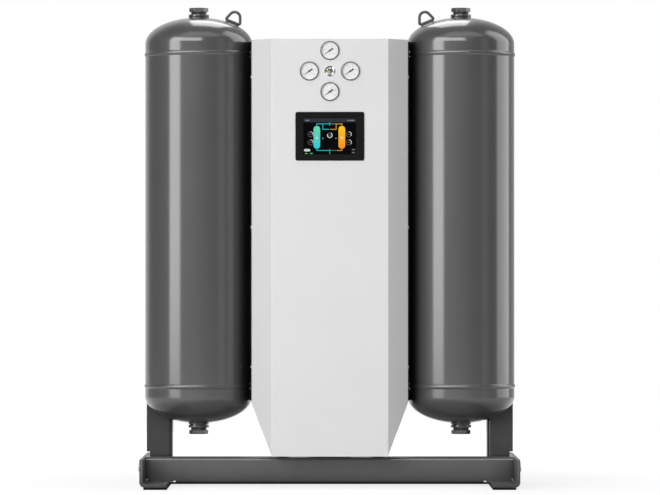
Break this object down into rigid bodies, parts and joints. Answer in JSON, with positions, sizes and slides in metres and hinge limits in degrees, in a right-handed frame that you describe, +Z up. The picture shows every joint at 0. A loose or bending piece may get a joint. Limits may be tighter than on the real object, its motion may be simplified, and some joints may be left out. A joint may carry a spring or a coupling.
{
  "type": "desiccant air dryer",
  "caption": "Twin-tower desiccant compressed-air dryer: dark pressure vessels on a folded steel base, with a chamfered light grey hood that carries gauges and an operator panel.",
  "frame": {"origin": "on the floor, midway between the vessels and between the rails' ends", "axes": "+X to the right seen from the front, +Y to the back, +Z up"},
  "size_m": [1.157, 0.6, 1.448],
  "materials": {
    "base_paint": "satin dark grey paint",
    "pad_rubber": "black rubber",
    "plated_steel": "zinc plated",
    "vessel_paint": "gloss dark grey paint",
    "plug_steel": "dark painted steel",
    "desiccant_beads": "white beads",
    "screen_steel": "perforated steel",
    "hood_paint": "light grey powder coat",
    "panel_plastic": "black plastic",
    "panel_glass": "glossy dark screen",
    "gauge_black": "dark grey gauge case",
    "dial_white": "white dial",
    "pointer_black": "black",
    "window_glass": "clear",
    "bright_chrome": "polished",
    "indicator_green": "yellow green element",
    "cast_aluminium": "cast",
    "muffler_plastic": "dark blue plastic",
    "valve_brass": "turned brass"
  },
  "bodies": {
    "frame": {"left_rail": "base_paint", "right_rail": "base_paint", "cross_beam": "base_paint", "left_post": "base_paint", "right_post": "base_paint", "left_strut": "base_paint", "right_strut": "base_paint", "left_lifting_eye": "base_paint", "right_lifting_eye": "base_paint", "left_foot_pad": "pad_rubber", "right_foot_pad": "pad_rubber", "frame_bolts": "plated_steel", "hood_screws": "plated_steel", "left_vessel": "vessel_paint", "right_vessel": "vessel_paint", "left_fill_coupling": "vessel_paint", "right_fill_coupling": "vessel_paint", "left_drain_coupling": "vessel_paint", "right_drain_coupling": "vessel_paint", "left_fill_plug": "plug_steel", "right_fill_plug": "plug_steel", "left_drain_plug": "plug_steel", "right_drain_plug": "plug_steel", "left_desiccant": "desiccant_beads", "right_desiccant": "desiccant_beads", "left_upper_screen": "screen_steel", "right_upper_screen": "screen_steel", "left_lower_screen": "screen_steel", "right_lower_screen": "screen_steel", "hood": "hood_paint", "hmi_housing": "panel_plastic", "pilot_valve_bank": "panel_plastic", "hmi_screen": "panel_glass", "gauge_case_top": "gauge_black", "gauge_case_left": "gauge_black", "gauge_case_right": "gauge_black", "gauge_case_bottom": "gauge_black", "gauge_dial_top": "dial_white", "gauge_dial_left": "dial_white", "gauge_dial_right": "dial_white", "gauge_dial_bottom": "dial_white", "gauge_window_top": "window_glass", "gauge_window_left": "window_glass", "gauge_window_right": "window_glass", "gauge_window_bottom": "window_glass", "moisture_indicator_lens": "window_glass", "moisture_indicator_body": "bright_chrome", "moisture_indicator_element": "indicator_green", "lower_manifold": "cast_aluminium", "upper_manifold": "cast_aluminium", "left_exhaust_valve": "cast_aluminium", "right_exhaust_valve": "cast_aluminium", "left_muffler": "muffler_plastic", "right_muffler": "muffler_plastic", "purge_valve": "valve_brass"},
    "pointer_top": {"gauge_pointer_top": "pointer_black"},
    "pointer_left": {"gauge_pointer_left": "pointer_black"},
    "pointer_right": {"gauge_pointer_right": "pointer_black"},
    "pointer_bottom": {"gauge_pointer_bottom": "pointer_black"}
  },
  "joints": [
    {"name": "pointer_top_turn", "type": "hinge", "parent": "frame", "child": "pointer_top", "pos_m": [0, -0.19, 1.3095], "axis": [0, 1, 0], "range_deg": [0, 250], "stiffness_Nm_per_rad": 0.004},
    {"name": "pointer_left_turn", "type": "hinge", "parent": "frame", "child": "pointer_left", "pos_m": [-0.0615, -0.19, 1.248], "axis": [0, 1, 0], "range_deg": [0, 250], "stiffness_Nm_per_rad": 0.004},
    {"name": "pointer_right_turn", "type": "hinge", "parent": "frame", "child": "pointer_right", "pos_m": [0.0615, -0.19, 1.248], "axis": [0, 1, 0], "range_deg": [0, 250], "stiffness_Nm_per_rad": 0.004},
    {"name": "pointer_bottom_turn", "type": "hinge", "parent": "frame", "child": "pointer_bottom", "pos_m": [0, -0.19, 1.1865], "axis": [0, 1, 0], "range_deg": [0, 250], "stiffness_Nm_per_rad": 0.004}
  ]
}
